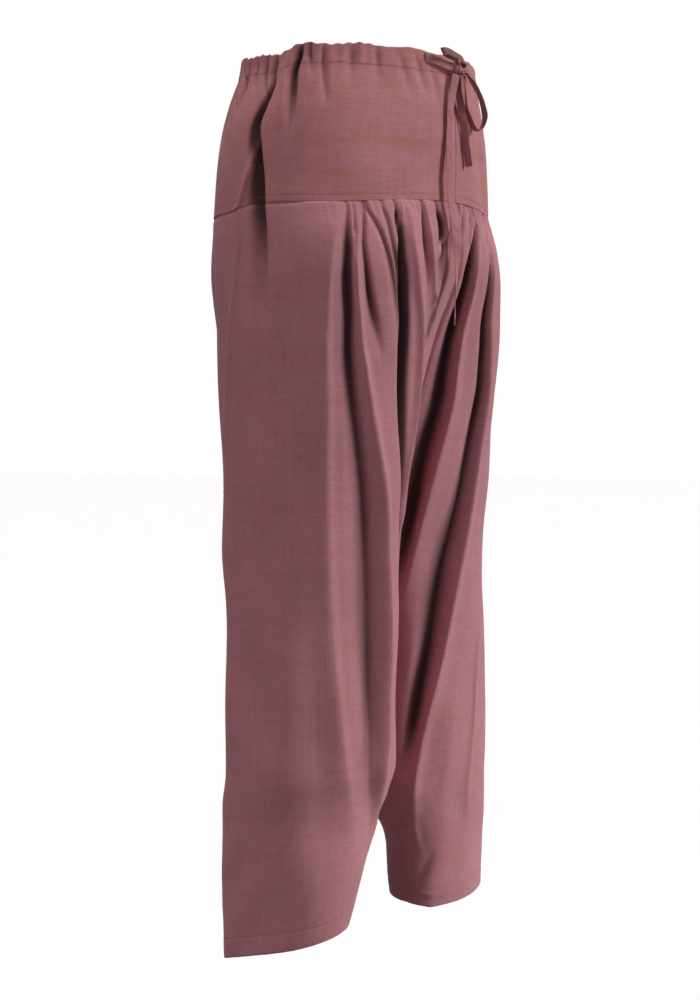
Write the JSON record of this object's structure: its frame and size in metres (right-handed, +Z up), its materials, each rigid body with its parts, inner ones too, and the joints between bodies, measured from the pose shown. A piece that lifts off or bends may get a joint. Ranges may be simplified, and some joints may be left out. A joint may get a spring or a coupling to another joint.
{
  "type": "drawstring trousers",
  "caption": "Wide low-crotched trousers with a fitted hip yoke, front pleats under the yoke and a tie tape at the waist, filled out as when worn.",
  "frame": {"origin": "middle of the waist opening, level with its top edge, where the wearer's waist holds the trousers up", "axes": "+Z up, front faces -Y, wearer's right is -X"},
  "size_m": [0.4121, 0.295, 1.0244],
  "materials": {
    "yoke_cloth": "matt hand-woven cotton, slubs running round",
    "leg_cloth": "matt hand-woven cotton, slubs and bars running across",
    "drawstring_tape": "flat tape of the same cotton"
  },
  "bodies": {
    "root": {"yoke_right": "yoke_cloth", "yoke_left": "yoke_cloth", "leg_right": "leg_cloth", "leg_left": "leg_cloth", "tape_right": "drawstring_tape", "tape_left": "drawstring_tape", "bow_knot": "drawstring_tape", "bow_loop_upper": "drawstring_tape", "bow_loop_side": "drawstring_tape", "tail_short": "drawstring_tape", "tail_long": "drawstring_tape"}
  },
  "joints": []
}
